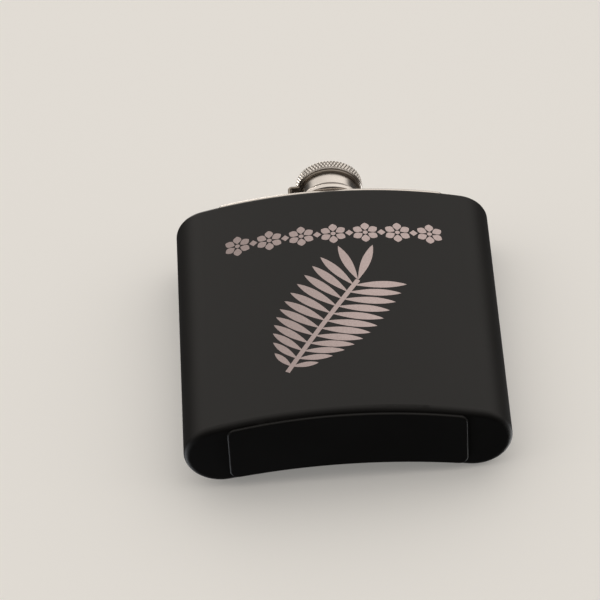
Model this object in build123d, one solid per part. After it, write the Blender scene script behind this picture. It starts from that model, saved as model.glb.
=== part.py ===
from build123d import *
import math
import os

# Hip flask: curved, hollow steel body with a short threaded neck and a screw cap
# that stays on a swinging arm. Millimetres, +Z up along the neck axis.
# The convex front faces -Y, the concave back faces +Y and +X is to the right.
# The origin is on the flat the flask stands on, under the neck axis.

# ---------------------------------------------------------------- driving dimensions
BODY_WIDTH = 95.0
BODY_THICKNESS = 23.5       # front to back on the centre line
FRONT_RADIUS = 150.0        # convex front face
SIDE_RADIUS = 11.0          # rounded left and right sides
BODY_HEIGHT = 92.0          # from the bottom margin to the top margin
WALL = 0.5                  # wrapped sheet
PLATE = 0.8                 # stamped end plates

BOTTOM_RELIEF = 0.8         # the bottom panel stands this far below its margin
BOTTOM_EDGE_RADIUS = 1.8
BOTTOM_PAN_DEPTH = 3.0
TOP_RELIEF = 1.8            # the top panel stands this far above its margin
TOP_EDGE_RADIUS = 1.2
TOP_PAN_DEPTH = 2.4
PANEL_INSET = 1.5           # panel edge to the front and back faces
PANEL_HALF_LENGTH = 34.5
PANEL_CORNER_RADIUS = 2.5
PANEL_EDGE_RADIUS = 0.5

NECK_BORE_RADIUS = 5.9
NECK_CREST_RADIUS = 7.8
NECK_RELIEF_RADIUS = 7.2    # plain run between the collar and the thread
NECK_SPIGOT_RADIUS = 7.0    # the part of the neck that passes through the top plate
NECK_TOP = 9.4              # heights from here on are above the top margin
NECK_TOP_CHAMFER = 0.4
THREAD_FOOT = 5.0
COLLAR_RADIUS = 11.3        # flange that overhangs the raised panel at front and back
COLLAR_RIM_TOP = 3.3
COLLAR_RIM_ROUNDING = 0.3
COLLAR_THROAT_RADIUS = 8.6
COLLAR_THROAT_TOP = 4.5
COLLAR_FLARE = 1.1          # hollow curve between throat and rim

SLEEVE_RADIUS = 8.9
SLEEVE_BORE_RADIUS = 8.2
SLEEVE_RIM = 5.4
SLEEVE_TOP = 11.4
SLEEVE_CEILING = 10.7
LIP_RADIUS = 9.4
LIP_HEIGHT = 0.6
LIP_ROUNDING = 0.2
HEAD_RADIUS = 10.2
HEAD_TOP = 14.8
HEAD_CHAMFER = 0.4
HEAD_DISH_RADIUS = 8.2
HEAD_DISH_DEPTH = 0.25
GASKET_RADIUS = 8.0
GASKET_THICKNESS = 1.1
GASKET_GAP = 0.1            # gasket to neck rim when the cap is closed

HINGE_X = -13.7
HINGE_HEIGHT = 5.2
PIN_RADIUS = 1.0
PIN_HEAD_RADIUS = 1.5
PIN_HEAD_LENGTH = 0.5
PIN_HEAD_ROUNDING = 0.3
KNUCKLE_BORE_RADIUS = 1.05
KNUCKLE_RADIUS = 1.85
KNUCKLE_WIDTH = 5.0
EAR_GAP = 0.15              # knuckle to ear, on each side
EAR_THICKNESS = 1.0
EAR_RADIUS = 2.1
BRACKET_PLATE = 0.8
BRACKET_LENGTH = 4.2
STAMPED_EDGE = 0.15         # edges of the pressed sheet parts, softened by tumbling
SAME_PLACE = 0.01           # two edges closer than this are taken as one when edges are picked

ARM_THICKNESS = 0.8
ARM_WIDTH = 7.0
ARM_BEND_RADIUS = 1.3       # outside of the bend
ARM_EDGE = 0.25             # rounding of the ring's and strap's outer edges
RING_RADIUS = 9.8
RING_BORE_RADIUS = 8.98
RING_GAP = 0.1              # ring to the underside of the knurled head
SHOULDER_CLEARANCE = 0.4    # wide part of the strap to the ears

# ---------------------------------------------------------------- heights that follow
BOTTOM_MARGIN = BOTTOM_RELIEF
TOP_MARGIN = BOTTOM_MARGIN + BODY_HEIGHT
PANEL_TOP = TOP_MARGIN + TOP_RELIEF
SHELL_BOTTOM = BOTTOM_MARGIN + BOTTOM_PAN_DEPTH
SHELL_TOP = TOP_MARGIN - TOP_PAN_DEPTH
HINGE_Z = TOP_MARGIN + HINGE_HEIGHT
RING_TOP = TOP_MARGIN + SLEEVE_TOP - RING_GAP
RING_BOTTOM = RING_TOP - ARM_THICKNESS


# ---------------------------------------------------------------- outlines
def body_outline(inset=0.0):
    """Kidney-shaped cross-section: convex front, round sides, concave back."""
    front_y = -BODY_THICKNESS / 2
    back_y = BODY_THICKNESS / 2
    centre_y = front_y + FRONT_RADIUS
    side_x = BODY_WIDTH / 2 - SIDE_RADIUS
    reach = FRONT_RADIUS - SIDE_RADIUS
    side_y = centre_y - math.sqrt(reach**2 - side_x**2)
    drop = back_y - side_y
    back_radius = (side_x**2 + drop**2 - SIDE_RADIUS**2) / (2 * (SIDE_RADIUS - drop))
    back_centre_y = back_y + back_radius

    front = FRONT_RADIUS - inset
    side = SIDE_RADIUS - inset
    back = back_radius + inset
    front_angle = math.asin(side_x / reach)
    back_angle = math.asin(side_x / (back_radius + SIDE_RADIUS))
    front_point = (side_x + side * math.sin(front_angle), side_y - side * math.cos(front_angle))
    side_point = (side_x + side, side_y)
    back_point = (side_x - side * math.sin(back_angle), side_y + side * math.cos(back_angle))

    def mirrored(point):
        return (-point[0], point[1])

    edges = [
        ThreePointArc(mirrored(front_point), (0, centre_y - front), front_point),
        ThreePointArc(front_point, side_point, back_point),
        ThreePointArc(back_point, (0, back_centre_y - back), mirrored(back_point)),
        ThreePointArc(mirrored(back_point), mirrored(side_point), mirrored(front_point)),
    ]
    return make_face(Wire(edges))


def panel_outline(inset=0.0):
    """Raised panel of an end plate: the cross-section set in and cut square at both ends."""
    strip = Rectangle(2 * (PANEL_HALF_LENGTH - inset), 4 * BODY_THICKNESS)
    panel = body_outline(PANEL_INSET + inset) & strip
    corner_radius = PANEL_CORNER_RADIUS - inset
    return fillet(panel.vertices(), corner_radius)


def lifted(shape, height):
    return Pos(0, 0, height) * shape


def cylinder_between(radius, low, high):
    return Pos(0, 0, low) * extrude(Circle(radius), high - low)


def turned(points):
    """Solid of revolution about the neck axis from (radius, height above the top margin)."""
    profile = Polyline(*[(radius, 0, TOP_MARGIN + height) for radius, height in points], close=True)
    return revolve(make_face(profile), Axis.Z)


def rims(shape, radius, height):
    """Circular edges of a turned shape at that radius and height above the top margin."""
    circles = shape.edges().filter_by(GeomType.CIRCLE)
    wide = [edge for edge in circles if abs(edge.radius - radius) < SAME_PLACE]
    return [edge for edge in wide if abs(edge.center().Z - TOP_MARGIN - height) < SAME_PLACE]


# ---------------------------------------------------------------- body
def body_shell():
    """Wrapped sheet between the two end plates, open at both ends."""
    height = SHELL_TOP - SHELL_BOTTOM
    return lifted(extrude(body_outline() - body_outline(WALL), height), SHELL_BOTTOM)


def end_plate(pan_depth, edge_radius, relief):
    """Stamped pan with its outer face up: a rolled edge, a flat margin and a raised panel.

    The margin is at z = 0 and the open side of the pan is at z = -pan_depth.
    """
    pan = lifted(extrude(body_outline(), pan_depth), -pan_depth)
    pan = fillet(pan.faces().sort_by(Axis.Z)[-1].edges(), edge_radius)
    hollow = lifted(extrude(body_outline(WALL), pan_depth - PLATE), -pan_depth)
    panel = extrude(panel_outline(), relief)
    panel = fillet(panel.faces().sort_by(Axis.Z)[-1].edges(), PANEL_EDGE_RADIUS)
    panel_hollow = lifted(extrude(panel_outline(PLATE), relief), -PLATE)
    return (pan - hollow) + panel - panel_hollow


def top_plate():
    plate = lifted(end_plate(TOP_PAN_DEPTH, TOP_EDGE_RADIUS, TOP_RELIEF), TOP_MARGIN)
    return plate - cylinder_between(NECK_SPIGOT_RADIUS, SHELL_TOP, PANEL_TOP)


def bottom_plate():
    plate = end_plate(BOTTOM_PAN_DEPTH, BOTTOM_EDGE_RADIUS, BOTTOM_RELIEF)
    return lifted(mirror(plate, Plane.XY), BOTTOM_MARGIN)


def neck():
    """Threaded tube with a flared collar that sits on the top panel."""
    spigot_foot = TOP_RELIEF - PLATE
    tube = turned([
        (NECK_BORE_RADIUS, spigot_foot),
        (NECK_SPIGOT_RADIUS, spigot_foot),
        (NECK_SPIGOT_RADIUS, TOP_RELIEF),
        (COLLAR_RADIUS, TOP_RELIEF),
        (COLLAR_RADIUS, COLLAR_RIM_TOP),
        (COLLAR_THROAT_RADIUS, COLLAR_RIM_TOP),
        (COLLAR_THROAT_RADIUS, COLLAR_THROAT_TOP),
        (NECK_RELIEF_RADIUS, COLLAR_THROAT_TOP),
        (NECK_RELIEF_RADIUS, THREAD_FOOT),
        (NECK_CREST_RADIUS, THREAD_FOOT),
        (NECK_CREST_RADIUS, NECK_TOP - NECK_TOP_CHAMFER),
        (NECK_CREST_RADIUS - NECK_TOP_CHAMFER, NECK_TOP),
        (NECK_BORE_RADIUS, NECK_TOP),
    ])
    tube = fillet(rims(tube, COLLAR_THROAT_RADIUS, COLLAR_RIM_TOP), COLLAR_FLARE)
    return fillet(rims(tube, COLLAR_RADIUS, COLLAR_RIM_TOP), COLLAR_RIM_ROUNDING)


def lies_at(edge, letter, value):
    """True if the whole edge has that one coordinate, X, Y or Z."""
    points = [edge @ 0, edge @ 0.5, edge @ 1]
    return all(abs(getattr(point, letter) - value) < SAME_PLACE for point in points)


# ---------------------------------------------------------------- hinge
def across(radius, half_width):
    """Cylinder along Y on the hinge axis."""
    turn = Location((HINGE_X, 0, HINGE_Z), (90, 0, 0))
    return turn * extrude(Circle(radius), half_width, both=True)


def hinge_bracket():
    """Folded saddle on the top panel with an ear on each side of the arm."""
    inner = KNUCKLE_WIDTH / 2 + EAR_GAP
    outer = inner + EAR_THICKNESS
    ear_height = HINGE_Z - PANEL_TOP
    ear_block = Pos(HINGE_X, 0, PANEL_TOP + ear_height / 2) * Box(BRACKET_LENGTH, 2 * outer, ear_height)
    slot_height = 2 * (ear_height - BRACKET_PLATE)
    ear_slot = Pos(HINGE_X, 0, HINGE_Z) * Box(2 * BRACKET_LENGTH, 2 * inner, slot_height)
    saddle = ear_block + across(EAR_RADIUS, outer)
    outer_edges = [
        edge for edge in saddle.edges()
        if (lies_at(edge, "Y", outer) or lies_at(edge, "Y", -outer))
        and edge.center().Z > PANEL_TOP + SAME_PLACE
    ]
    saddle = fillet(outer_edges, STAMPED_EDGE)
    return saddle - ear_slot - across(PIN_RADIUS, outer)


def hinge_pin():
    """Riveted pin, fixed in the two ears."""
    outer = KNUCKLE_WIDTH / 2 + EAR_GAP + EAR_THICKNESS
    heads = across(PIN_HEAD_RADIUS, outer + PIN_HEAD_LENGTH)
    head_rims = [heads.edges().sort_by(Axis.Y)[0], heads.edges().sort_by(Axis.Y)[-1]]
    heads = fillet(head_rims, PIN_HEAD_ROUNDING) - across(PIN_HEAD_RADIUS, outer)
    return across(PIN_RADIUS, outer) + heads


def captive_arm():
    """Flat ring round the cap, a strap bent down beside it and a knuckle on the pin."""
    inner_x = HINGE_X + KNUCKLE_RADIUS
    outer_x = inner_x - ARM_THICKNESS
    shoulder_z = HINGE_Z + EAR_RADIUS + SHOULDER_CLEARANCE
    strap_height = RING_TOP - HINGE_Z

    side_view = Polyline(
        (0, RING_TOP), (outer_x, RING_TOP), (outer_x, HINGE_Z),
        (inner_x, HINGE_Z), (inner_x, RING_BOTTOM), (0, RING_BOTTOM), close=True,
    )
    strap = extrude(Plane.XZ * make_face(side_view), ARM_WIDTH / 2, both=True)
    outer_corner = strap.edges().filter_by(Axis.Y).sort_by_distance((outer_x, 0, RING_TOP))[0]
    strap = fillet(outer_corner, ARM_BEND_RADIUS)
    inner_corner = strap.edges().filter_by(Axis.Y).sort_by_distance((inner_x, 0, RING_BOTTOM))[0]
    strap = fillet(inner_corner, ARM_BEND_RADIUS - ARM_THICKNESS)

    side_cut = Box(4 * KNUCKLE_RADIUS, ARM_WIDTH, 2 * strap_height)
    side_y = KNUCKLE_WIDTH / 2 + ARM_WIDTH / 2
    for side in (-1, 1):
        strap -= Pos(HINGE_X, side * side_y, shoulder_z - strap_height) * side_cut

    flat = strap + cylinder_between(RING_RADIUS, RING_BOTTOM, RING_TOP)
    outer_edges = [
        edge for edge in flat.edges()
        if (lies_at(edge, "Z", RING_TOP) or lies_at(edge, "Z", RING_BOTTOM))
        and not lies_at(edge, "X", edge.center().X)
    ]
    flat = fillet(outer_edges, ARM_EDGE)
    bore = cylinder_between(RING_BORE_RADIUS, RING_BOTTOM, RING_TOP)
    knuckle = across(KNUCKLE_RADIUS, KNUCKLE_WIDTH / 2)
    return flat + knuckle - bore - across(KNUCKLE_BORE_RADIUS, KNUCKLE_WIDTH / 2)


# ---------------------------------------------------------------- cap
def cap_sleeve():
    """Drawn cup that screws on the neck. Its rolled lip keeps the ring on."""
    lip_top = SLEEVE_RIM + LIP_HEIGHT
    cup = turned([
        (0, SLEEVE_CEILING),
        (SLEEVE_BORE_RADIUS, SLEEVE_CEILING),
        (SLEEVE_BORE_RADIUS, SLEEVE_RIM),
        (LIP_RADIUS, SLEEVE_RIM),
        (LIP_RADIUS, lip_top),
        (SLEEVE_RADIUS, lip_top),
        (SLEEVE_RADIUS, SLEEVE_TOP),
        (0, SLEEVE_TOP),
    ])
    lip = rims(cup, LIP_RADIUS, SLEEVE_RIM) + rims(cup, LIP_RADIUS, lip_top)
    return fillet(lip, LIP_ROUNDING)


def cap_head():
    """Thick disc with the grip on its edge, fixed on top of the sleeve."""
    return turned([
        (0, SLEEVE_TOP),
        (HEAD_RADIUS - HEAD_CHAMFER, SLEEVE_TOP),
        (HEAD_RADIUS, SLEEVE_TOP + HEAD_CHAMFER),
        (HEAD_RADIUS, HEAD_TOP - HEAD_CHAMFER),
        (HEAD_RADIUS - HEAD_CHAMFER, HEAD_TOP),
        (HEAD_DISH_RADIUS, HEAD_TOP),
        (HEAD_DISH_RADIUS - HEAD_DISH_DEPTH, HEAD_TOP - HEAD_DISH_DEPTH),
        (0, HEAD_TOP - HEAD_DISH_DEPTH),
    ])


def gasket():
    low = NECK_TOP + GASKET_GAP
    return cylinder_between(GASKET_RADIUS, TOP_MARGIN + low, TOP_MARGIN + low + GASKET_THICKNESS)


# ---------------------------------------------------------------- output
PARTS = {
    "body_shell": body_shell,
    "top_plate": top_plate,
    "bottom_plate": bottom_plate,
    "neck": neck,
    "hinge_bracket": hinge_bracket,
    "hinge_pin": hinge_pin,
    "captive_arm": captive_arm,
    "cap_sleeve": cap_sleeve,
    "cap_head": cap_head,
    "gasket": gasket,
}

os.makedirs("parts", exist_ok=True)
for name, make in PARTS.items():
    export_step(make(), f"parts/{name}.step")
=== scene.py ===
import math

import bmesh
import bpy
from mathutils import Matrix, Vector


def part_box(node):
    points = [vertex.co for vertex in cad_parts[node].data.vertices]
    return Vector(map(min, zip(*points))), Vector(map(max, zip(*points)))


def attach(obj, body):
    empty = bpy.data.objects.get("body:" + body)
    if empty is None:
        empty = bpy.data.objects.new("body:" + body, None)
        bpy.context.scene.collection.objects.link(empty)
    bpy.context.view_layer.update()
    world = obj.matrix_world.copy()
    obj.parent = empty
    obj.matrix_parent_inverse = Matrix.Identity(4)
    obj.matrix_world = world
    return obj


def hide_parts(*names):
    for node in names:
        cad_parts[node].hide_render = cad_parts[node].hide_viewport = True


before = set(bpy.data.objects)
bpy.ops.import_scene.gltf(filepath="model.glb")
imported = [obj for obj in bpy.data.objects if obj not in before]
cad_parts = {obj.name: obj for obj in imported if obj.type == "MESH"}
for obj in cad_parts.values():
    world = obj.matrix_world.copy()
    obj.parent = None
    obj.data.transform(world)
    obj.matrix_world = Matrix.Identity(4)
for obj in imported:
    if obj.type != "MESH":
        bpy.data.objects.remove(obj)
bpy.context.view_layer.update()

# Hip flask: black powder-coated steel body with a laser-engraved front, and a turned
# steel cap that stays on a swinging arm. +Z is up the neck, the convex front faces -Y.
# Sizes are in millimetres and become metres through MM.
MM = 0.001

# ---------------------------------------------------------------- sizes
FRONT_RADIUS = 150.0        # curve of the front face, about an upright axis behind the flask
THREAD_PITCH = 2.4
THREAD_FLANK = (0.7, 0.25)  # foot and top of a flank, in half pitches from the middle of the crest
THREAD_LEAD_IN = 0.3        # the thread stops this far short of the rim
NECK_CREST = 7.8
NECK_ROOT = 7.2
NECK_BORE = 5.9
NECK_SPIGOT = 7.0
SPIGOT_FOOT = 1.0           # foot of the neck, above the top plate's coated margin
NECK_PLAIN_FOOT = 0.4       # plain neck between the collar and the thread
COLLAR_RADIUS = 11.3
COLLAR_RIM = 1.5            # height of the collar's outer wall above the raised panel
COLLAR_THROAT_RADIUS = 8.6
COLLAR_HEIGHT = 2.7
COLLAR_FLARE = 1.1
SLEEVE_RADIUS = 8.9
SLEEVE_BORE = 8.2
SLEEVE_THREAD_RIDGE = 7.6
SLEEVE_ROOF = 0.7
SLEEVE_PLAIN_TOP = 1.2      # plain bore between the thread and the roof
LIP_RADIUS = 9.4
LIP_HEIGHT = 0.6
LIP_EDGE = 0.12             # upright part of the lip, above its bevelled underside
KNURL_TEETH = 60
KNURL_ROWS = 4
KNURL_DEPTH = 0.3
KNURL_FLAT = 0.42           # flat top of a diamond, as a fraction of its foot
KNURL_MARGIN = 0.3          # smooth rim above and below the knurl
HEAD_RIM_SET_BACK = 0.12    # the smooth rims are this much smaller than the knurl
HEAD_DISH_RADIUS = 8.2
HEAD_DISH_DEPTH = 0.25
ENGRAVING_PROUD = 0.015     # bare steel shows this far above the coat's faceted surface
ENGRAVING_DEPTH = 0.1
ENGRAVING_STEP = 0.01       # stem, eyes and diamonds stand this far above the leaves they cross
OUTLINE_STEP = 0.15         # longest upright step of a threaded outline
TURNED_STEPS = 144          # round a plain turned piece
THREADED_STEPS = 120
SHARP_ANGLE = 35.0          # an edge that turns by more stays crisp
SAME_PLACE = 0.001
UNIT_SAME_PLACE = 0.001     # the same for shapes that are drawn one unit long

COAT_SPECULAR = 0.25        # a matt powder mirrors less than a gloss paint
BARE_EDGE = (0.22, 0.27)    # the coat ends between these heights above the top plate's margin
BARE_RAGGEDNESS = 0.1
LASER_ROWS = 0.99           # spacing; real rows are about 0.06 apart and too fine to show
SHADED_FROM = -36.0         # painted shade: the engraving brightens between these two places from left to right
SHADED_TO = 10.0
LEFT_SHADE = 0.62           # brightness at its left end, where 1 is full

BAND_MIDDLE = 73.6          # height of the ornamental band's centre line
BAND_ROSETTES = 7
BAND_PITCH = 9.6
PETALS = 6
PETAL_START = 0.95          # from the rosette's centre
PETAL_LENGTH = 3.15
PETAL_WIDTH = 2.5
ROSETTE_EYE = 0.75
BAND_DIAMOND = 1.25

STEM_FOOT = (-16.1, 18.1)
STEM_BEND = (-6.6, 33.6)
STEM_TIP = (6.3, 53.4)
STEM_WIDTH = 1.45
STEM_POINTS = 40
LEAFY_PART = (0.06, 0.94)   # of the stem's length
LEAFLETS = 12               # on each side of the stem
LEAFLET_LENGTH = 15.6
LEAFLET_WIDTH = 2.75
LEAFLET_SHORTENING = 0.5    # the lowest leaflets are this much shorter and slimmer, as fractions
LEAFLET_SLIMMING = 0.3
LEAFLET_FALL_OFF = 4.0      # higher keeps more of the leaflets at full size
LEFT_ANGLE = 70.0           # between stem and leaflet at both ends of the stem
RIGHT_ANGLE = 57.0
MIDDLE_SPREAD = 13.0        # how much wider those angles are halfway up
LEAFLET_CURL = 0.07
TIP_PAIR_ANGLE = 20.0       # of the last two leaflets, from the vertical
LEAF_SKEW = 1.15            # above 1 moves a leaf's widest place towards its tip
LEAF_BLUNTNESS = 0.8        # below 1 fills out its ends
LEAF_POINTS = 17            # along a leaf


def top_of(node):
    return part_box(node)[1].z / MM


def foot_of(node):
    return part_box(node)[0].z / MM


NECK_TOP = top_of("neck")
PANEL_TOP = top_of("top_plate")
TOP_MARGIN = foot_of("neck") - SPIGOT_FOOT
SLEEVE_RIM = foot_of("cap_sleeve")
SLEEVE_TOP = top_of("cap_sleeve")
HEAD_TOP = top_of("cap_head")
HEAD_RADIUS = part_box("cap_head")[1].x / MM
FRONT_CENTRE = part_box("body_shell")[0].y / MM + FRONT_RADIUS
BACK_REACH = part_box("body_shell")[1].y / MM


# ---------------------------------------------------------------- node and colour helpers
def add_node(tree, kind, inputs=None, **settings):
    """Adds a node with its settings; inputs maps a socket's name or number to a value or output."""
    node = tree.nodes.new(kind)
    for name, value in settings.items():
        setattr(node, name, value)
    for key, value in (inputs or {}).items():
        if isinstance(value, bpy.types.NodeSocket):
            tree.links.new(value, node.inputs[key])
        else:
            node.inputs[key].default_value = value
    return node


def linear(hex_colour):
    """sRGB hex colour to linear RGBA."""
    channels = [int(hex_colour[i:i + 2], 16) / 255 for i in (1, 3, 5)]
    light = [c / 12.92 if c <= 0.04045 else ((c + 0.055) / 1.055) ** 2.4 for c in channels]
    return (*light, 1.0)


def per_metre(size):
    """Texture scale whose detail is about size millimetres wide in Object coordinates."""
    return 1 / (size * MM)


# ---------------------------------------------------------------- materials
def start_material(name):
    material = bpy.data.materials.new(name)
    material.use_nodes = True
    tree = material.node_tree
    place = add_node(tree, "ShaderNodeTexCoord").outputs["Object"]
    return material, tree, tree.nodes["Principled BSDF"], place


def round_neck_axis(tree, place):
    """Each point's distance from the neck axis, and its height."""
    point = add_node(tree, "ShaderNodeSeparateXYZ", {0: place}).outputs
    flat = add_node(tree, "ShaderNodeCombineXYZ", {0: point[0], 1: point[1]})
    radius = add_node(tree, "ShaderNodeVectorMath", {0: flat.outputs[0]}, operation="LENGTH")
    return radius.outputs["Value"], point[2]


def turned_lines(tree, place, spacing):
    """Noise that depends only on the distance from the neck axis and the height: lathe lines."""
    radius, level = round_neck_axis(tree, place)
    rings = add_node(tree, "ShaderNodeCombineXYZ", {0: radius, 2: level})
    return add_node(tree, "ShaderNodeTexNoise", {
        "Vector": rings.outputs[0], "Scale": per_metre(spacing), "Detail": 3.0, "Roughness": 0.6,
    }).outputs[0]


def powder_coat_layer(tree, place):
    """Colour, roughness and height of baked polyester powder: soft orange peel and a fine grain."""
    peel = add_node(tree, "ShaderNodeTexNoise", {
        "Vector": place, "Scale": per_metre(1.4), "Detail": 2.0,
    }).outputs[0]
    grain = add_node(tree, "ShaderNodeTexNoise", {
        "Vector": place, "Scale": per_metre(0.45), "Detail": 2.0,
    }).outputs[0]
    clouding = add_node(tree, "ShaderNodeTexNoise", {
        "Vector": place, "Scale": per_metre(22.0), "Detail": 3.0,
    }).outputs[0]
    colour = add_node(tree, "ShaderNodeMix", {
        0: clouding, 6: linear("#131211"), 7: linear("#181716"),
    }, data_type="RGBA")
    roughness = add_node(tree, "ShaderNodeMapRange", {0: clouding, 3: 0.42, 4: 0.52})
    height = add_node(tree, "ShaderNodeMath", {0: peel, 1: 0.6, 2: grain}, operation="MULTIPLY_ADD")
    return colour.outputs[2], roughness.outputs[0], height.outputs[0]


def powder_coat():
    """Black polyester powder coat, sprayed and baked: deep matte black with a broad soft sheen."""
    material, tree, shader, place = start_material("powder_coat_black_baked")
    colour, roughness, height = powder_coat_layer(tree, place)
    bump = add_node(tree, "ShaderNodeBump", {"Height": height, "Strength": 0.10, "Distance": 0.05 * MM})
    tree.links.new(colour, shader.inputs["Base Color"])
    tree.links.new(roughness, shader.inputs["Roughness"])
    tree.links.new(bump.outputs[0], shader.inputs["Normal"])
    shader.inputs["IOR"].default_value = 1.5
    shader.inputs["Specular IOR Level"].default_value = COAT_SPECULAR
    return material


def coated_top_with_bare_panel():
    """The top plate is coated up to its margin; the raised panel was masked and stays polished steel."""
    material, tree, shader, place = start_material("powder_coat_black_with_polished_panel")
    colour, roughness, height = powder_coat_layer(tree, place)
    level = add_node(tree, "ShaderNodeSeparateXYZ", {0: place}).outputs[2]
    ragged = add_node(tree, "ShaderNodeTexNoise", {"Vector": place, "Scale": per_metre(1.5)}).outputs[0]
    edge = add_node(tree, "ShaderNodeMath", {
        0: ragged, 1: BARE_RAGGEDNESS * MM, 2: level,
    }, operation="MULTIPLY_ADD")
    start, end = [(TOP_MARGIN + height) * MM for height in BARE_EDGE]
    bare = add_node(tree, "ShaderNodeMapRange", {0: edge.outputs[0], 1: start, 2: end}).outputs[0]
    lines = add_node(tree, "ShaderNodeMapping", {0: place, 3: (0.04, 1.0, 1.0)})
    polish = add_node(tree, "ShaderNodeTexNoise", {
        "Vector": lines.outputs[0], "Scale": per_metre(0.35), "Detail": 3.0,
    }).outputs[0]
    steel_roughness = add_node(tree, "ShaderNodeMapRange", {0: polish, 3: 0.16, 4: 0.30}).outputs[0]
    mixed_colour = add_node(tree, "ShaderNodeMix", {
        0: bare, 6: colour, 7: linear("#D9D2CB"),
    }, data_type="RGBA")
    mixed_roughness = add_node(tree, "ShaderNodeMix", {0: bare, 2: roughness, 3: steel_roughness})
    mixed_height = add_node(tree, "ShaderNodeMix", {0: bare, 2: height, 3: polish})
    bump = add_node(tree, "ShaderNodeBump", {
        "Height": mixed_height.outputs[0], "Strength": 0.10, "Distance": 0.04 * MM,
    })
    tree.links.new(mixed_colour.outputs[2], shader.inputs["Base Color"])
    tree.links.new(bare, shader.inputs["Metallic"])
    tree.links.new(mixed_roughness.outputs[0], shader.inputs["Roughness"])
    tree.links.new(bump.outputs[0], shader.inputs["Normal"])
    shader.inputs["Specular IOR Level"].default_value = COAT_SPECULAR
    return material


def turned_steel():
    """Stainless steel turned on a lathe and polished: fine rings round the axis smear what it
    mirrors along the axis, and leave upright streaks crisp."""
    material, tree, shader, place = start_material("stainless_steel_turned_polished")
    rings = turned_lines(tree, place, 0.25)
    haze = add_node(tree, "ShaderNodeTexNoise", {"Vector": place, "Scale": per_metre(4.0)}).outputs[0]
    roughness = add_node(tree, "ShaderNodeMapRange", {0: haze, 3: 0.18, 4: 0.28})
    bump = add_node(tree, "ShaderNodeBump", {"Height": rings, "Strength": 0.10, "Distance": 0.02 * MM})
    around = add_node(tree, "ShaderNodeTangent", direction_type="RADIAL", axis="Z")
    tree.links.new(roughness.outputs[0], shader.inputs["Roughness"])
    tree.links.new(bump.outputs[0], shader.inputs["Normal"])
    tree.links.new(around.outputs[0], shader.inputs["Tangent"])
    shader.inputs["Base Color"].default_value = linear("#DDD6CF")
    shader.inputs["Metallic"].default_value = 1.0
    shader.inputs["Anisotropic"].default_value = 0.7
    shader.inputs["Anisotropic Rotation"].default_value = 0.25
    return material


def knurled_steel():
    """The cap's rolled knurl: bright ridges, and painted shade: dark grey steel down in the grooves."""
    material, tree, shader, place = start_material("stainless_steel_knurled")
    radius, _ = round_neck_axis(tree, place)
    groove = (HEAD_RADIUS - KNURL_DEPTH) * MM
    crest = (HEAD_RADIUS - KNURL_DEPTH / 3) * MM
    groove_shade_mask = add_node(tree, "ShaderNodeMapRange", {0: radius, 1: groove, 2: crest}).outputs[0]
    # painted shade: dark grey down in the grooves, brighter steel on the crests
    colour = add_node(tree, "ShaderNodeMix", {
        0: groove_shade_mask, 6: linear("#3A3632"), 7: linear("#EAE4DD"),
    }, data_type="RGBA")
    roughness = add_node(tree, "ShaderNodeMapRange", {0: groove_shade_mask, 3: 0.5, 4: 0.2})
    tree.links.new(colour.outputs[2], shader.inputs["Base Color"])
    tree.links.new(roughness.outputs[0], shader.inputs["Roughness"])
    shader.inputs["Metallic"].default_value = 1.0
    return material


def pressed_steel():
    """Pressed and tumbled stainless sheet for arm and hinge: satin, with short fine scratches."""
    material, tree, shader, place = start_material("stainless_steel_pressed_tumbled")
    along = add_node(tree, "ShaderNodeMapping", {0: place, 3: (0.15, 1.0, 1.0)})
    scratches = add_node(tree, "ShaderNodeTexNoise", {
        "Vector": along.outputs[0], "Scale": per_metre(0.3), "Detail": 4.0, "Roughness": 0.65,
    }).outputs[0]
    roughness = add_node(tree, "ShaderNodeMapRange", {0: scratches, 3: 0.25, 4: 0.42})
    bump = add_node(tree, "ShaderNodeBump", {
        "Height": scratches, "Strength": 0.15, "Distance": 0.02 * MM,
    })
    tree.links.new(roughness.outputs[0], shader.inputs["Roughness"])
    tree.links.new(bump.outputs[0], shader.inputs["Normal"])
    shader.inputs["Base Color"].default_value = linear("#8A8278")
    shader.inputs["Metallic"].default_value = 1.0
    return material


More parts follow.
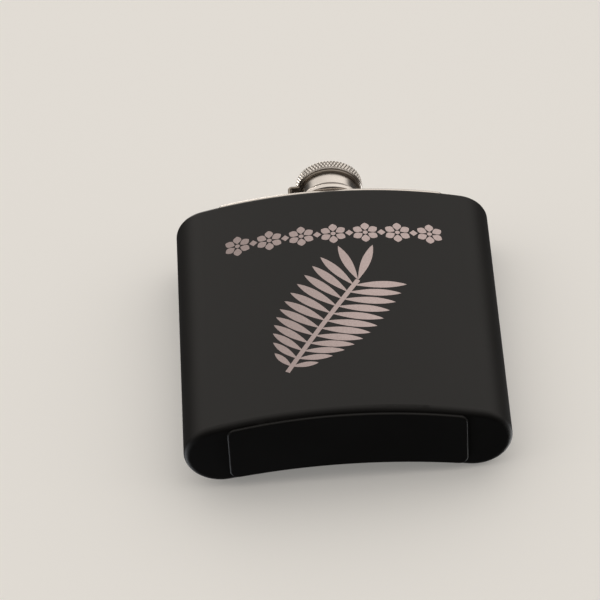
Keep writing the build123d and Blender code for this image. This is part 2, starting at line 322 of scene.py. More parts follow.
def lasered_steel():
    """Stainless bared by the engraving laser: the coat is burnt off in lines, warm grey and frosted.

    It is darker to the left: painted shade, as if less light fell there. The rows are drawn coarser than
    real ones, so that they show.
    """
    material, tree, shader, place = start_material("stainless_steel_laser_bared")
    full_wave = math.pi / 10        # length of one wave of this texture at scale 1
    rows = add_node(tree, "ShaderNodeTexWave", {
        "Vector": place, "Scale": full_wave * per_metre(LASER_ROWS), "Distortion": 0.4, "Detail": 1.0,
    }, bands_direction="Z")
    speckle = add_node(tree, "ShaderNodeTexNoise", {
        "Vector": place, "Scale": per_metre(0.4), "Detail": 3.0,
    }).outputs[0]
    colour = add_node(tree, "ShaderNodeMix", {
        0: speckle, 6: linear("#A0908E"), 7: linear("#C8B9B7"),
    }, data_type="RGBA")
    across = add_node(tree, "ShaderNodeSeparateXYZ", {0: place}).outputs[0]
    # painted shade: darker towards the left end, full brightness from SHADED_TO rightwards
    painted_shade_ramp = add_node(tree, "ShaderNodeMapRange", {
        0: across, 1: SHADED_FROM * MM, 2: SHADED_TO * MM, 3: LEFT_SHADE, 4: 1.0,
    })
    shade = add_node(tree, "ShaderNodeMix", {
        0: 1.0, 6: colour.outputs[2], 7: painted_shade_ramp.outputs[0],
    }, data_type="RGBA", blend_type="MULTIPLY")
    roughness = add_node(tree, "ShaderNodeMapRange", {0: speckle, 3: 0.30, 4: 0.40})
    height = add_node(tree, "ShaderNodeMath", {
        0: rows.outputs[1], 1: 0.5, 2: speckle,
    }, operation="MULTIPLY_ADD")
    bump = add_node(tree, "ShaderNodeBump", {
        "Height": height.outputs[0], "Strength": 0.2, "Distance": 0.03 * MM,
    })
    tree.links.new(shade.outputs[2], shader.inputs["Base Color"])
    tree.links.new(roughness.outputs[0], shader.inputs["Roughness"])
    tree.links.new(bump.outputs[0], shader.inputs["Normal"])
    shader.inputs["Metallic"].default_value = 1.0
    return material


def silicone():
    """Moulded translucent silicone for the gasket: milky grey, soft-edged and slightly waxy."""
    material, tree, shader, place = start_material("silicone_moulded_milky")
    bloom = add_node(tree, "ShaderNodeTexNoise", {"Vector": place, "Scale": per_metre(2.5)}).outputs[0]
    colour = add_node(tree, "ShaderNodeMix", {
        0: bloom, 6: linear("#B4B0A8"), 7: linear("#C6C2BA"),
    }, data_type="RGBA")
    roughness = add_node(tree, "ShaderNodeMapRange", {0: bloom, 3: 0.38, 4: 0.5})
    tree.links.new(colour.outputs[2], shader.inputs["Base Color"])
    tree.links.new(roughness.outputs[0], shader.inputs["Roughness"])
    shader.inputs["IOR"].default_value = 1.41
    shader.inputs["Subsurface Weight"].default_value = 0.4
    shader.inputs["Subsurface Radius"].default_value = (1.0, 0.9, 0.8)
    shader.inputs["Subsurface Scale"].default_value = 1.0 * MM
    return material


POWDER_COAT = powder_coat()
COATED_TOP = coated_top_with_bare_panel()
TURNED_STEEL = turned_steel()
KNURLED_STEEL = knurled_steel()
PRESSED_STEEL = pressed_steel()
LASERED_STEEL = lasered_steel()
SILICONE = silicone()


# ---------------------------------------------------------------- turned parts
def rounded_outline(corners, arc_steps=5):
    """Open outline through (radius, height, rounding) corners, with an arc at each rounded one."""
    points = []
    for i, (radius, height, rounding) in enumerate(corners):
        corner = Vector((radius, height))
        if rounding == 0 or i in (0, len(corners) - 1):
            points.append(corner)
            continue
        before = (Vector(corners[i - 1][:2]) - corner).normalized()
        after = (Vector(corners[i + 1][:2]) - corner).normalized()
        half_turn = before.angle(after) / 2
        start = corner + before * rounding / math.tan(half_turn)
        end = corner + after * rounding / math.tan(half_turn)
        centre = corner + (before + after).normalized() * rounding / math.sin(half_turn)
        for step in range(arc_steps + 1):
            chord = start.lerp(end, step / arc_steps)
            points.append(centre + (chord - centre).normalized() * rounding)
    return points


def stepped(points, longest):
    """The same outline with its upright runs cut into steps no longer than longest."""
    fine = [points[0]]
    for start, end in zip(points, points[1:]):
        steps = max(1, math.ceil(abs(end.y - start.y) / longest))
        fine += [start.lerp(end, step / steps) for step in range(1, steps + 1)]
    return fine


def turned_piece(name, outline, material, steps=TURNED_STEPS, moved=None):
    """Closed solid of revolution about the neck axis. moved(radius, height, turn) may shift a radius."""
    shape = bmesh.new()
    rings = []
    for step in range(steps):
        turn = step / steps
        ring = []
        for radius, height in outline:
            r = moved(radius, height, turn) if moved else radius
            angle = 2 * math.pi * turn
            point = Vector((r * math.cos(angle), r * math.sin(angle), height))
            ring.append(shape.verts.new(point * MM))
        rings.append(ring)
    for ring, following in zip(rings, rings[1:] + rings[:1]):
        for i in range(len(outline)):
            j = (i + 1) % len(outline)
            shape.faces.new((ring[i], following[i], following[j], ring[j]))
    bmesh.ops.remove_doubles(shape, verts=shape.verts, dist=SAME_PLACE * MM)
    bmesh.ops.dissolve_degenerate(shape, edges=shape.edges, dist=SAME_PLACE * MM)
    bmesh.ops.recalc_face_normals(shape, faces=shape.faces)
    mesh = bpy.data.meshes.new(name)
    shape.to_mesh(mesh)
    shape.free()
    for face in mesh.polygons:
        face.use_smooth = True
    mesh.set_sharp_from_angle(angle=math.radians(SHARP_ANGLE))
    mesh.materials.append(material)
    piece = bpy.data.objects.new(name, mesh)
    bpy.context.scene.collection.objects.link(piece)
    return piece


def ramp(value, start, end):
    """0 before start, 1 after end, straight between."""
    return min(1.0, max(0.0, (value - start) / (end - start)))


def thread_height(height, turn, low, high):
    """Single-start right-hand thread: 1 on its crest and 0 at its root, fading out at low and high."""
    phase = (height / THREAD_PITCH - turn) % 1.0
    flank = ramp(abs(2 * phase - 1), *THREAD_FLANK)
    fade = THREAD_PITCH / 2
    return flank * ramp(height, low, low + fade) * ramp(height, high, high - fade)


def threaded_neck():
    """Neck with its thread, and a flared collar that sits on the top panel."""
    spigot_foot = foot_of("neck")
    collar_top = PANEL_TOP + COLLAR_HEIGHT
    thread_foot = collar_top + NECK_PLAIN_FOOT
    corners = [
        (NECK_BORE, spigot_foot, 0),
        (NECK_SPIGOT, spigot_foot, 0),
        (NECK_SPIGOT, PANEL_TOP, 0),
        (COLLAR_RADIUS, PANEL_TOP, 0.15),
        (COLLAR_RADIUS, PANEL_TOP + COLLAR_RIM, 0.3),
        (COLLAR_THROAT_RADIUS, PANEL_TOP + COLLAR_RIM, COLLAR_FLARE),
        (COLLAR_THROAT_RADIUS, collar_top, 0.08),
        (NECK_ROOT, collar_top, 0.2),
        (NECK_ROOT, NECK_TOP, 0.3),
        (NECK_BORE, NECK_TOP, 0.2),
        (NECK_BORE, NECK_TOP - 1.0, 0),
    ]
    outline = stepped(rounded_outline(corners), OUTLINE_STEP)

    def with_thread(radius, height, turn):
        if abs(radius - NECK_ROOT) > SAME_PLACE or height < thread_foot:
            return radius
        rise = thread_height(height, turn, thread_foot, NECK_TOP - THREAD_LEAD_IN)
        return radius + (NECK_CREST - NECK_ROOT) * rise

    piece = turned_piece("threaded_neck", outline, TURNED_STEEL, THREADED_STEPS, with_thread)
    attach(piece, "body")
    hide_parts("neck")


def threaded_sleeve():
    """Drawn cup of the cap: a bevelled lip outside that holds the ring, and a thread inside."""
    roof = SLEEVE_TOP - SLEEVE_ROOF
    thread_foot = SLEEVE_RIM + THREAD_LEAD_IN
    thread_top = roof - SLEEVE_PLAIN_TOP
    corners = [
        (0, roof, 0),
        (SLEEVE_BORE, roof, 0.2),
        (SLEEVE_BORE, SLEEVE_RIM, 0.15),
        (SLEEVE_RADIUS, SLEEVE_RIM, 0.15),
        (LIP_RADIUS, SLEEVE_RIM + LIP_HEIGHT - LIP_EDGE, 0.08),
        (LIP_RADIUS, SLEEVE_RIM + LIP_HEIGHT, 0.04),
        (SLEEVE_RADIUS, SLEEVE_RIM + LIP_HEIGHT, 0.06),
        (SLEEVE_RADIUS, SLEEVE_TOP, 0),
        (0, SLEEVE_TOP, 0),
    ]
    outline = stepped(rounded_outline(corners), OUTLINE_STEP)

    def with_thread(radius, height, turn):
        if abs(radius - SLEEVE_BORE) > SAME_PLACE or height > thread_top:
            return radius
        rise = thread_height(height, turn + 0.5, thread_foot, thread_top)
        return radius - (SLEEVE_BORE - SLEEVE_THREAD_RIDGE) * rise

    piece = turned_piece("threaded_sleeve", outline, TURNED_STEEL, THREADED_STEPS, with_thread)
    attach(piece, "cap")
    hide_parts("cap_sleeve")


def head_core():
    """Disc under the knurl, with narrow smooth rims and a shallow dished top."""
    core = HEAD_RADIUS - KNURL_DEPTH
    rim = HEAD_RADIUS - HEAD_RIM_SET_BACK
    low = SLEEVE_TOP + KNURL_MARGIN
    high = HEAD_TOP - KNURL_MARGIN
    corners = [
        (0, SLEEVE_TOP, 0),
        (rim - 0.15, SLEEVE_TOP, 0.08),
        (rim, SLEEVE_TOP + 0.15, 0.08),
        (rim, low, 0),
        (core, low + 0.03, 0),
        (core, high - 0.03, 0),
        (rim, high, 0),
        (rim, HEAD_TOP - 0.25, 0.15),
        (rim - 0.35, HEAD_TOP, 0.15),
        (HEAD_DISH_RADIUS, HEAD_TOP, 0.1),
        (HEAD_DISH_RADIUS - HEAD_DISH_DEPTH, HEAD_TOP - HEAD_DISH_DEPTH, 0.1),
        (0, HEAD_TOP - HEAD_DISH_DEPTH, 0),
    ]
    return turned_piece("cap_head_core", rounded_outline(corners), TURNED_STEEL)


# ---------------------------------------------------------------- Geometry Nodes
def start_tree(name, inputs):
    """A Geometry Nodes tree with named inputs; returns the tree and its input sockets."""
    tree = bpy.data.node_groups.new(name, "GeometryNodeTree")
    tree.interface.new_socket("Geometry", in_out="OUTPUT", socket_type="NodeSocketGeometry")
    for label, kind in inputs.items():
        tree.interface.new_socket(label, in_out="INPUT", socket_type="NodeSocket" + kind)
    return tree, tree.nodes.new("NodeGroupInput").outputs


def end_tree(tree, geometry, material):
    solid = add_node(tree, "GeometryNodeRealizeInstances", {0: geometry})
    finished = add_node(tree, "GeometryNodeSetMaterial", {0: solid.outputs[0], 2: material})
    add_node(tree, "NodeGroupOutput", {0: finished.outputs[0]})


def grown_piece(name, tree, values):
    """Runs the tree and keeps what it makes as a plain mesh."""
    piece = bpy.data.objects.new(name, bpy.data.meshes.new(name))
    bpy.context.scene.collection.objects.link(piece)
    modifier = piece.modifiers.new(tree.name, "NODES")
    modifier.node_group = tree
    sockets = [item for item in tree.interface.items_tree if item.in_out == "INPUT"]
    identifiers = {socket.name: socket.identifier for socket in sockets}
    for label, value in values.items():
        modifier[identifiers[label]] = value
    evaluated = piece.evaluated_get(bpy.context.evaluated_depsgraph_get())
    mesh = bpy.data.meshes.new_from_object(evaluated)
    piece.modifiers.clear()
    piece.data = mesh
    return piece


def knurl_tree():
    """Staggered rows of flat-topped diamonds round the cap; the first and last rows are halves."""
    tree, given = start_tree("knurl", {
        "Teeth": "Int", "Rows": "Int", "Radius": "Float", "Depth": "Float",
        "Low": "Float", "High": "Float", "Material": "Material",
    })
    count = add_node(tree, "ShaderNodeMath", {
        0: given["Teeth"], 1: given["Rows"],
    }, operation="MULTIPLY")
    points = add_node(tree, "GeometryNodePoints", {0: count.outputs[0]})
    index = add_node(tree, "GeometryNodeInputIndex").outputs[0]
    turns = add_node(tree, "ShaderNodeMath", {
        0: index, 1: given["Teeth"],
    }, operation="DIVIDE").outputs[0]
    row = add_node(tree, "ShaderNodeMath", {0: turns}, operation="FLOOR").outputs[0]
    stagger = add_node(tree, "ShaderNodeMath", {0: row, 1: 0.5}, operation="MULTIPLY")
    shift = add_node(tree, "ShaderNodeMath", {
        0: stagger.outputs[0], 1: given["Teeth"],
    }, operation="DIVIDE")
    turned = add_node(tree, "ShaderNodeMath", {0: turns, 1: shift.outputs[0]}, operation="ADD")
    angle = add_node(tree, "ShaderNodeMath", {
        0: turned.outputs[0], 1: 2 * math.pi,
    }, operation="MULTIPLY").outputs[0]
    last_row = add_node(tree, "ShaderNodeMath", {
        0: given["Rows"], 1: 1.0,
    }, operation="SUBTRACT").outputs[0]
    height = add_node(tree, "ShaderNodeMapRange", {
        0: row, 1: 0.0, 2: last_row, 3: given["Low"], 4: given["High"],
    }, clamp=False).outputs[0]
    band = add_node(tree, "ShaderNodeMath", {0: given["High"], 1: given["Low"]}, operation="SUBTRACT")
    half_height = add_node(tree, "ShaderNodeMath", {
        0: band.outputs[0], 1: last_row,
    }, operation="DIVIDE").outputs[0]
    cosine = add_node(tree, "ShaderNodeMath", {0: angle}, operation="COSINE")
    sine = add_node(tree, "ShaderNodeMath", {0: angle}, operation="SINE")
    x = add_node(tree, "ShaderNodeMath", {
        0: cosine.outputs[0], 1: given["Radius"],
    }, operation="MULTIPLY")
    y = add_node(tree, "ShaderNodeMath", {
        0: sine.outputs[0], 1: given["Radius"],
    }, operation="MULTIPLY")
    spot = add_node(tree, "ShaderNodeCombineXYZ", {0: x.outputs[0], 1: y.outputs[0], 2: height})
    placed = add_node(tree, "GeometryNodeSetPosition", {
        0: points.outputs[0], 2: spot.outputs[0],
    }).outputs[0]
    facing = add_node(tree, "ShaderNodeCombineXYZ", {2: angle})
    rotation = add_node(tree, "FunctionNodeEulerToRotation", {0: facing.outputs[0]}).outputs[0]
    width = add_node(tree, "ShaderNodeMath", {
        0: given["Radius"], 1: math.pi,
    }, operation="MULTIPLY")
    half_width = add_node(tree, "ShaderNodeMath", {
        0: width.outputs[0], 1: given["Teeth"],
    }, operation="DIVIDE")
    size = add_node(tree, "ShaderNodeCombineXYZ", {
        0: given["Depth"], 1: half_width.outputs[0], 2: half_height,
    })

    cone = add_node(tree, "GeometryNodeMeshCone", {0: 4, 3: KNURL_FLAT, 4: 1.0, 5: 1.0})
    lying = add_node(tree, "GeometryNodeTransform", {
        0: cone.outputs[0], 2: (0, math.pi / 2, 0),
    }).outputs[0]
    corner = add_node(tree, "ShaderNodeSeparateXYZ", {
        0: add_node(tree, "GeometryNodeInputPosition").outputs[0],
    }).outputs
    joined = add_node(tree, "GeometryNodeJoinGeometry")
    last = add_node(tree, "ShaderNodeMath", {
        0: row, 1: last_row, 2: 0.5,
    }, operation="COMPARE").outputs[0]
    first = add_node(tree, "ShaderNodeMath", {0: row, 1: 0.0, 2: 0.5}, operation="COMPARE").outputs[0]
    ends = add_node(tree, "ShaderNodeMath", {0: first, 1: last}, operation="ADD")
    between = add_node(tree, "ShaderNodeMath", {
        0: 1.0, 1: ends.outputs[0],
    }, operation="SUBTRACT").outputs[0]
    for chosen, lowest, highest in ((first, 0.0, 1.0), (between, -1.0, 1.0), (last, -1.0, 0.0)):
        cut = add_node(tree, "ShaderNodeClamp", {0: corner[2], 1: lowest, 2: highest})
        kept = add_node(tree, "ShaderNodeCombineXYZ", {0: corner[0], 1: corner[1], 2: cut.outputs[0]})
        diamond = add_node(tree, "GeometryNodeSetPosition", {0: lying, 2: kept.outputs[0]})
        closed = add_node(tree, "GeometryNodeMergeByDistance", {
            0: diamond.outputs[0], 2: UNIT_SAME_PLACE,
        })
        sized = add_node(tree, "GeometryNodeTransform", {0: closed.outputs[0], 3: size.outputs[0]})
        row_of_diamonds = add_node(tree, "GeometryNodeInstanceOnPoints", {
            0: placed, 1: chosen, 2: sized.outputs[0], 5: rotation,
        })
        tree.links.new(row_of_diamonds.outputs[0], joined.inputs[0])
    end_tree(tree, joined.outputs[0], given["Material"])
    return tree


def add_leaf(tree, curl):
    """A unit slab with a leaf's blunt outline, from 0 to 1 along X and from -1 to 0 deep in Z."""
    slab = add_node(tree, "GeometryNodeMeshCube", {0: (1, 1, 1), 1: LEAF_POINTS, 2: 3, 3: 2})
    corner = add_node(tree, "ShaderNodeSeparateXYZ", {
        0: add_node(tree, "GeometryNodeInputPosition").outputs[0],
    }).outputs
    along = add_node(tree, "ShaderNodeMath", {0: corner[0], 1: 0.5}, operation="ADD").outputs[0]
    skewed = add_node(tree, "ShaderNodeMath", {0: along, 1: LEAF_SKEW}, operation="POWER")
    angle = add_node(tree, "ShaderNodeMath", {
        0: skewed.outputs[0], 1: math.pi,
    }, operation="MULTIPLY")
    swell = add_node(tree, "ShaderNodeMath", {0: angle.outputs[0]}, operation="SINE")
    floored = add_node(tree, "ShaderNodeMath", {0: swell.outputs[0], 1: 0.0}, operation="MAXIMUM")
    blunt = add_node(tree, "ShaderNodeMath", {
        0: floored.outputs[0], 1: LEAF_BLUNTNESS,
    }, operation="POWER")
    width = add_node(tree, "ShaderNodeMath", {
        0: blunt.outputs[0], 1: corner[1],
    }, operation="MULTIPLY")
    bend = add_node(tree, "ShaderNodeMath", {0: along, 1: 2.0}, operation="POWER")
    y = add_node(tree, "ShaderNodeMath", {
        0: bend.outputs[0], 1: curl, 2: width.outputs[0],
    }, operation="MULTIPLY_ADD")
    depth = add_node(tree, "ShaderNodeMath", {0: corner[2], 1: 0.5}, operation="SUBTRACT")
    spot = add_node(tree, "ShaderNodeCombineXYZ", {0: along, 1: y.outputs[0], 2: depth.outputs[0]})
    leaf = add_node(tree, "GeometryNodeSetPosition", {0: slab.outputs[0], 2: spot.outputs[0]})
    return add_node(tree, "GeometryNodeMergeByDistance", {
        0: leaf.outputs[0], 2: UNIT_SAME_PLACE,
    }).outputs[0]


def sunk_place(tree, depth):
    """Shift that brings the top of a shape drawn round its middle one step above the leaves."""
    middle = add_node(tree, "ShaderNodeMath", {
        0: depth, 1: -0.5, 2: ENGRAVING_STEP * MM,
    }, operation="MULTIPLY_ADD")
    return add_node(tree, "ShaderNodeCombineXYZ", {2: middle.outputs[0]}).outputs[0]


def wrap_on_front(tree, flat, front_radius, front_centre):
    """Lays a flat drawing (X across, Y up, Z outwards) on the curved front face."""
    solid = add_node(tree, "GeometryNodeRealizeInstances", {0: flat})
    corner = add_node(tree, "ShaderNodeSeparateXYZ", {
        0: add_node(tree, "GeometryNodeInputPosition").outputs[0],
    }).outputs
    radius = add_node(tree, "ShaderNodeMath", {
        0: front_radius, 1: corner[2],
    }, operation="ADD").outputs[0]
    squared = add_node(tree, "ShaderNodeMath", {0: radius, 1: radius}, operation="MULTIPLY").outputs[0]
    across = add_node(tree, "ShaderNodeMath", {0: corner[0], 1: corner[0]}, operation="MULTIPLY")
    rest = add_node(tree, "ShaderNodeMath", {0: squared, 1: across.outputs[0]}, operation="SUBTRACT")
    reach = add_node(tree, "ShaderNodeMath", {0: rest.outputs[0]}, operation="SQRT")
    y = add_node(tree, "ShaderNodeMath", {0: front_centre, 1: reach.outputs[0]}, operation="SUBTRACT")
    spot = add_node(tree, "ShaderNodeCombineXYZ", {0: corner[0], 1: y.outputs[0], 2: corner[1]})
    return add_node(tree, "GeometryNodeSetPosition", {
        0: solid.outputs[0], 2: spot.outputs[0],
    }).outputs[0]


def frond_tree():
    """Palm-like frond: a stem, leaflets in pairs that grow longer upwards, and two at the tip."""
    tree, given = start_tree("frond", {
        "Leaflets": "Int", "Length": "Float", "Width": "Float", "Proud": "Float", "Depth": "Float",
        "Foot": "Vector", "Bend": "Vector", "Tip": "Vector", "Stem Width": "Float",
        "Front Radius": "Float", "Front Centre": "Float", "Material": "Material",
    })
    stem = add_node(tree, "GeometryNodeCurveQuadraticBezier", {
        0: STEM_POINTS, 1: given["Foot"], 2: given["Bend"], 3: given["Tip"],
    }).outputs[0]
    leafy = add_node(tree, "GeometryNodeTrimCurve", {0: stem, 2: LEAFY_PART[0], 3: LEAFY_PART[1]})
    points = add_node(tree, "GeometryNodeCurveToPoints", {0: leafy.outputs[0], 1: given["Leaflets"]})
    index = add_node(tree, "GeometryNodeInputIndex").outputs[0]
    gaps = add_node(tree, "ShaderNodeMath", {0: given["Leaflets"], 1: 1.0}, operation="SUBTRACT")
    up = add_node(tree, "ShaderNodeMath", {0: index, 1: gaps.outputs[0]}, operation="DIVIDE").outputs[0]
    down = add_node(tree, "ShaderNodeMath", {0: 1.0, 1: up}, operation="SUBTRACT").outputs[0]
    shorter = add_node(tree, "ShaderNodeMath", {
        0: down, 1: LEAFLET_FALL_OFF,
    }, operation="POWER").outputs[0]
    fraction = add_node(tree, "ShaderNodeMath", {
        0: shorter, 1: -LEAFLET_SHORTENING, 2: 1.0,
    }, operation="MULTIPLY_ADD").outputs[0]
    length = add_node(tree, "ShaderNodeMath", {
        0: fraction, 1: given["Length"],
    }, operation="MULTIPLY")
    slimmer = add_node(tree, "ShaderNodeMath", {
        0: shorter, 1: -LEAFLET_SLIMMING, 2: 1.0,
    }, operation="MULTIPLY_ADD")
    width = add_node(tree, "ShaderNodeMath", {
        0: slimmer.outputs[0], 1: given["Width"],
    }, operation="MULTIPLY")
    scale = add_node(tree, "ShaderNodeCombineXYZ", {
        0: length.outputs[0], 1: width.outputs[0], 2: given["Depth"],
    })
    half_turn = add_node(tree, "ShaderNodeMath", {0: up, 1: math.pi}, operation="MULTIPLY")
    middle = add_node(tree, "ShaderNodeMath", {0: half_turn.outputs[0]}, operation="SINE").outputs[0]
    along_stem = add_node(tree, "FunctionNodeAlignRotationToVector", {
        2: points.outputs["Tangent"],
    }, axis="X", pivot_axis="Z").outputs[0]
    joined = add_node(tree, "GeometryNodeJoinGeometry")
    for side, end_angle in ((-1, RIGHT_ANGLE), (1, LEFT_ANGLE)):
        leaf = add_leaf(tree, -side * LEAFLET_CURL)
        opened = add_node(tree, "ShaderNodeMath", {
            0: middle, 1: side * math.radians(MIDDLE_SPREAD), 2: side * math.radians(end_angle),
        }, operation="MULTIPLY_ADD")
        turn = add_node(tree, "ShaderNodeCombineXYZ", {2: opened.outputs[0]})
        rotation = add_node(tree, "FunctionNodeRotateRotation", {
            0: along_stem, 1: turn.outputs[0],
        }, rotation_space="LOCAL")
        leaflets = add_node(tree, "GeometryNodeInstanceOnPoints", {
            0: points.outputs[0], 2: leaf, 5: rotation.outputs[0], 6: scale.outputs[0],
        })
        tree.links.new(leaflets.outputs[0], joined.inputs[0])
        last_size = add_node(tree, "ShaderNodeCombineXYZ", {
            0: given["Length"], 1: given["Width"], 2: given["Depth"],
        })
        last_angle = math.radians(90 + side * TIP_PAIR_ANGLE)
        last = add_node(tree, "GeometryNodeTransform", {
            0: leaf, 1: given["Tip"], 2: (0, 0, last_angle), 3: last_size.outputs[0],
        })
        tree.links.new(last.outputs[0], joined.inputs[0])
    strip = add_node(tree, "GeometryNodeCurvePrimitiveQuadrilateral", {
        0: given["Stem Width"], 1: given["Depth"],
    })
    upright = add_node(tree, "GeometryNodeSetCurveNormal", {0: stem}, mode="Z_UP")
    bar = add_node(tree, "GeometryNodeCurveToMesh", {
        0: upright.outputs[0], 1: strip.outputs[0], "Fill Caps": True,
    })
    drop = sunk_place(tree, given["Depth"])
    level = add_node(tree, "GeometryNodeTransform", {0: bar.outputs[0], 1: drop})
    tree.links.new(level.outputs[0], joined.inputs[0])
    raised = add_node(tree, "ShaderNodeCombineXYZ", {2: given["Proud"]})
    drawing = add_node(tree, "GeometryNodeTransform", {0: joined.outputs[0], 1: raised.outputs[0]})
    wrapped = wrap_on_front(tree, drawing.outputs[0], given["Front Radius"], given["Front Centre"])
    flat = add_node(tree, "GeometryNodeSetShadeSmooth", {0: wrapped, 2: False})
    end_tree(tree, flat.outputs[0], given["Material"])
    return tree


def band_tree():
    """Plain ornamental band: six-petalled rosettes in a row, with a small diamond in each gap."""
    tree, given = start_tree("rosette_band", {
        "Rosettes": "Int", "Pitch": "Float", "Height": "Float", "Petal Start": "Float",
        "Petal Length": "Float", "Petal Width": "Float", "Eye": "Float", "Diamond": "Float",
        "Proud": "Float", "Depth": "Float",
        "Front Radius": "Float", "Front Centre": "Float", "Material": "Material",
    })
    joined = add_node(tree, "GeometryNodeJoinGeometry")
    size = add_node(tree, "ShaderNodeCombineXYZ", {
        0: given["Petal Length"], 1: given["Petal Width"], 2: given["Depth"],
    })
    outwards = add_node(tree, "ShaderNodeCombineXYZ", {0: given["Petal Start"]})
    petal = add_node(tree, "GeometryNodeTransform", {
        0: add_leaf(tree, 0.0), 1: outwards.outputs[0], 3: size.outputs[0],
    })
    rosette = add_node(tree, "GeometryNodeJoinGeometry")
    for i in range(PETALS):
        placed = add_node(tree, "GeometryNodeTransform", {
            0: petal.outputs[0], 2: (0, 0, 2 * math.pi * (i + 0.5) / PETALS),
        })
        tree.links.new(placed.outputs[0], rosette.inputs[0])
    drop = sunk_place(tree, given["Depth"])
    eye = add_node(tree, "GeometryNodeMeshCylinder", {
        0: 16, 3: given["Eye"], 4: given["Depth"],
    })
    sunk_eye = add_node(tree, "GeometryNodeTransform", {0: eye.outputs[0], 1: drop})
    tree.links.new(sunk_eye.outputs[0], rosette.inputs[0])
    diamond = add_node(tree, "GeometryNodeMeshCylinder", {
        0: 4, 3: given["Diamond"], 4: given["Depth"],
    })
    sunk_diamond = add_node(tree, "GeometryNodeTransform", {0: diamond.outputs[0], 1: drop})
    step = add_node(tree, "ShaderNodeCombineXYZ", {0: given["Pitch"]})
    gaps = add_node(tree, "ShaderNodeMath", {
        0: given["Rosettes"], 1: 1.0,
    }, operation="SUBTRACT").outputs[0]
    for shape, count in ((rosette, given["Rosettes"]), (sunk_diamond, gaps)):
        spaces = add_node(tree, "ShaderNodeMath", {0: count, 1: 1.0}, operation="SUBTRACT")
        span = add_node(tree, "ShaderNodeMath", {
            0: spaces.outputs[0], 1: given["Pitch"],
        }, operation="MULTIPLY")
        left = add_node(tree, "ShaderNodeMath", {0: span.outputs[0], 1: -0.5}, operation="MULTIPLY")
        start = add_node(tree, "ShaderNodeCombineXYZ", {
            0: left.outputs[0], 1: given["Height"], 2: given["Proud"],
        })
        line = add_node(tree, "GeometryNodeMeshLine", {
            0: count, 2: start.outputs[0], 3: step.outputs[0],
        })
        row = add_node(tree, "GeometryNodeInstanceOnPoints", {0: line.outputs[0], 2: shape.outputs[0]})
        tree.links.new(row.outputs[0], joined.inputs[0])
    wrapped = wrap_on_front(tree, joined.outputs[0], given["Front Radius"], given["Front Centre"])
    end_tree(tree, wrapped, given["Material"])
    return tree


# ---------------------------------------------------------------- pieces
def on_front(x, height):
    return (x * MM, height * MM, 0)


def engraving():
    """Laser-engraved decoration on the front: a band across the top and a frond below it."""
    common = {
        "Proud": ENGRAVING_PROUD * MM, "Depth": (ENGRAVING_PROUD + ENGRAVING_DEPTH) * MM,
        "Front Radius": FRONT_RADIUS * MM, "Front Centre": FRONT_CENTRE * MM, "Material": LASERED_STEEL,
    }
    frond = grown_piece("engraved_frond", frond_tree(), {
        "Leaflets": LEAFLETS, "Length": LEAFLET_LENGTH * MM, "Width": LEAFLET_WIDTH * MM,
        "Foot": on_front(*STEM_FOOT), "Bend": on_front(*STEM_BEND), "Tip": on_front(*STEM_TIP),
        "Stem Width": STEM_WIDTH * MM, **common,
    })
    band = grown_piece("engraved_band", band_tree(), {
        "Rosettes": BAND_ROSETTES, "Pitch": BAND_PITCH * MM, "Height": BAND_MIDDLE * MM,
        "Petal Start": PETAL_START * MM, "Petal Length": PETAL_LENGTH * MM,
        "Petal Width": PETAL_WIDTH * MM, "Eye": ROSETTE_EYE * MM, "Diamond": BAND_DIAMOND * MM, **common,
    })
    for piece in (frond, band):
        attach(piece, "body")


def knurled_head():
    """Cap head: the turned core and the ring of knurl diamonds."""
    core = head_core()
    knurl = grown_piece("cap_head_knurl", knurl_tree(), {
        "Teeth": KNURL_TEETH, "Rows": KNURL_ROWS, "Radius": (HEAD_RADIUS - KNURL_DEPTH) * MM,
        "Depth": KNURL_DEPTH * MM, "Low": (SLEEVE_TOP + KNURL_MARGIN) * MM,
        "High": (HEAD_TOP - KNURL_MARGIN) * MM, "Material": KNURLED_STEEL,
    })
    for piece in (core, knurl):
        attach(piece, "cap")
    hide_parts("cap_head")


def finish_cad_nodes():
    """Materials for the CAD pieces whose shape is already the final one."""
    finishes = {
        "body_shell": POWDER_COAT,
        "bottom_plate": POWDER_COAT,
        "top_plate": COATED_TOP,
        "captive_arm": PRESSED_STEEL,
        "hinge_bracket": PRESSED_STEEL,
        "hinge_pin": TURNED_STEEL,
        "gasket": SILICONE,
    }
    for node, material in finishes.items():
        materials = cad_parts[node].data.materials
        materials.clear()
        materials.append(material)


# ---------------------------------------------------------------- studio
FLASK_MIDDLE = 60.0             # height that the softboxes are aimed at
BOARD_GLOW = 0.25
FLOOR_HALF = 3.0                # in metres, as are the next two
BACKDROP_HALF = 0.2
BACKDROP_MIDDLE = 0.07
BACKDROP_TURN = 1.5             # degrees: a view from the flask's right meets only its unseen rear
BOARD_GAP = 0.1                 # keeps the boards off the flask's own flat faces
DOME_ENDS = (0.0, -0.3)         # along Y, where the dome starts and where it is fully bright
DOME_LIGHT = (0.06, 1.05)
SIDE_ENDS = (-0.4, 0.4)         # along X
SIDE_LIGHT = (0.9, 1.05)
TABLE_ENDS = (-0.55, -0.1)      # along Z, from the dim table to the open room
TABLE_LIGHT = (0.2, 1.0)


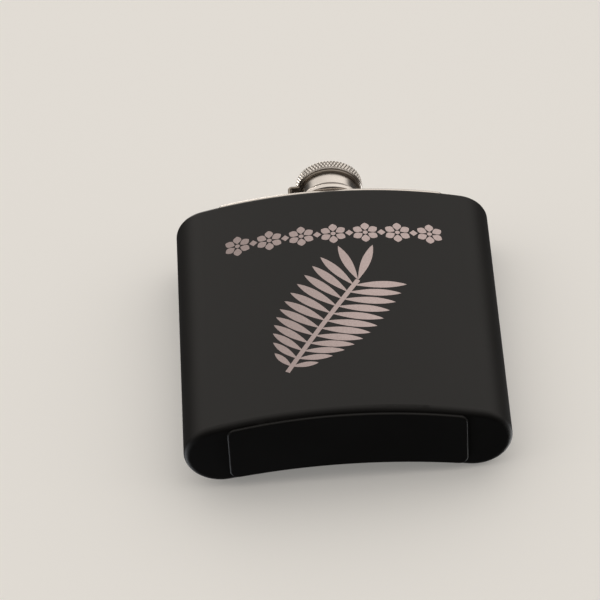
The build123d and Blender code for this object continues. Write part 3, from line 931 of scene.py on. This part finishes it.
def one_sided_paint(name, hex_colour):
    """Matt studio board that shows only its front face, so it never hides the flask from behind."""
    material, tree, shader, _ = start_material(name)
    shader.inputs["Base Color"].default_value = linear(hex_colour)
    shader.inputs["Roughness"].default_value = 0.9
    shader.inputs["Emission Color"].default_value = linear(hex_colour)
    shader.inputs["Emission Strength"].default_value = BOARD_GLOW
    side = add_node(tree, "ShaderNodeNewGeometry").outputs["Backfacing"]
    clear = add_node(tree, "ShaderNodeBsdfTransparent")
    mixed = add_node(tree, "ShaderNodeMixShader", {
        0: side, 1: shader.outputs[0], 2: clear.outputs[0],
    })
    tree.links.new(mixed.outputs[0], tree.nodes["Material Output"].inputs[0])
    return material


def board(name, centre, turn, half, material):
    """Flat square studio surface that neither shades nor reflects in the flask."""
    mesh = bpy.data.meshes.new(name)
    corners = [(-half, -half, 0), (half, -half, 0), (half, half, 0), (-half, half, 0)]
    mesh.from_pydata(corners, [], [(0, 1, 2, 3)])
    mesh.transform(Matrix.Translation(centre) @ turn)
    mesh.materials.append(material)
    surface = bpy.data.objects.new(name, mesh)
    bpy.context.scene.collection.objects.link(surface)
    surface.visible_diffuse = False
    surface.visible_glossy = False
    surface.visible_transmission = False
    surface.visible_shadow = False


def softbox(name, direction, distance, size, power, colour):
    """Square area light in the given direction from the flask's middle, aimed at it."""
    middle = Vector((0, 0, FLASK_MIDDLE)) * MM
    light = bpy.data.lights.new(name, "AREA")
    light.shape = "RECTANGLE"
    light.size, light.size_y = size
    light.energy = power
    light.color = linear(colour)[:3]
    lamp = bpy.data.objects.new(name, light)
    lamp.location = middle + Vector(direction).normalized() * distance
    lamp.rotation_euler = (middle - lamp.location).to_track_quat("-Z", "Y").to_euler()
    lamp.visible_camera = False
    bpy.context.scene.collection.objects.link(lamp)


def studio_world():
    """A bright soft dome before the flask's front, brighter on the right, dim behind and below.

    The camera itself sees a plain pale wall past the boards.
    """
    world = bpy.data.worlds.new("studio_world")
    bpy.context.scene.world = world
    world.use_nodes = True
    tree = world.node_tree
    direction = add_node(tree, "ShaderNodeTexCoord").outputs["Generated"]
    side = add_node(tree, "ShaderNodeSeparateXYZ", {0: direction}).outputs
    dome, balance, table = [
        add_node(tree, "ShaderNodeMapRange", {
            0: side[axis], 1: ends[0], 2: ends[1], 3: light[0], 4: light[1],
        }, interpolation_type=kind)
        for axis, ends, light, kind in (
            (1, DOME_ENDS, DOME_LIGHT, "SMOOTHSTEP"),
            (0, SIDE_ENDS, SIDE_LIGHT, "LINEAR"),
            (2, TABLE_ENDS, TABLE_LIGHT, "LINEAR"),
        )
    ]
    lit = add_node(tree, "ShaderNodeMath", {
        0: dome.outputs[0], 1: table.outputs[0],
    }, operation="MULTIPLY")
    strength = add_node(tree, "ShaderNodeMath", {
        0: lit.outputs[0], 1: balance.outputs[0],
    }, operation="MULTIPLY")
    room = tree.nodes["Background"]
    room.inputs[0].default_value = linear("#FFFAF4")
    tree.links.new(strength.outputs[0], room.inputs[1])
    seen = add_node(tree, "ShaderNodeBackground", {0: linear("#E2E0DC"), 1: 0.95})
    ray = add_node(tree, "ShaderNodeLightPath").outputs["Is Camera Ray"]
    mixed = add_node(tree, "ShaderNodeMixShader", {
        0: ray, 1: room.outputs[0], 2: seen.outputs[0],
    })
    tree.links.new(mixed.outputs[0], tree.nodes["World Output"].inputs[0])


def studio():
    """Pale floor under the flask, pale backdrop behind it, the soft dome and three softboxes."""
    pale = one_sided_paint("studio_board_pale", "#DEDCD8")
    turn = math.radians(BACKDROP_TURN)
    half_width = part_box("body_shell")[1].x
    behind = (BACK_REACH + BOARD_GAP) * MM + math.tan(turn) * half_width
    upright = Matrix.Rotation(-turn, 4, "Z") @ Matrix.Rotation(math.pi / 2, 4, "X")
    board("floor", (0, 0, -BOARD_GAP * MM), Matrix.Identity(4), FLOOR_HALF, pale)
    board("backdrop", (0, behind, BACKDROP_MIDDLE), upright, BACKDROP_HALF, pale)
    studio_world()
    softbox("top_left", (-0.25, 0.05, 1.0), 1.1, (0.4, 0.4), 2.5, "#FFF8F0")
    softbox("back_right", (0.75, 0.8, 0.1), 1.1, (0.8, 0.8), 5.5, "#FFFFFF")
    softbox("back_left", (-0.75, 0.8, -0.15), 1.1, (0.8, 0.8), 4.8, "#F6F9FF")
    bpy.context.scene.view_settings.view_transform = "Standard"


def camera():
    """The flask lies on its back, foot towards the camera, which looks down over it."""
    tilt = math.radians(44.86)      # of the view, below level when the flask lies on its back
    yaw = math.radians(0.16)
    roll = math.radians(-3.52)
    distance = 1.1
    aim = Vector((-11.14, 0, 58.19)) * MM

    up = Vector((0, -1, 0))
    ahead = Vector((math.sin(yaw), 0, math.cos(yaw)))
    right = Vector((math.cos(yaw), 0, -math.sin(yaw)))
    forward = math.cos(tilt) * ahead - math.sin(tilt) * up
    top = math.sin(tilt) * ahead + math.cos(tilt) * up
    across = math.cos(roll) * right + math.sin(roll) * top
    over = math.cos(roll) * top - math.sin(roll) * right

    lens = bpy.data.cameras.new("camera")
    lens.lens = 221.5
    lens.sensor_width = 36.0
    lens.clip_start = 0.05
    body = bpy.data.objects.new("camera", lens)
    turn = Matrix((across, over, -forward)).transposed().to_4x4()
    body.matrix_world = Matrix.Translation(aim - distance * forward) @ turn
    bpy.context.scene.collection.objects.link(body)
    bpy.context.scene.camera = body


finish_cad_nodes()
threaded_neck()
threaded_sleeve()
knurled_head()
engraving()
studio()
camera()
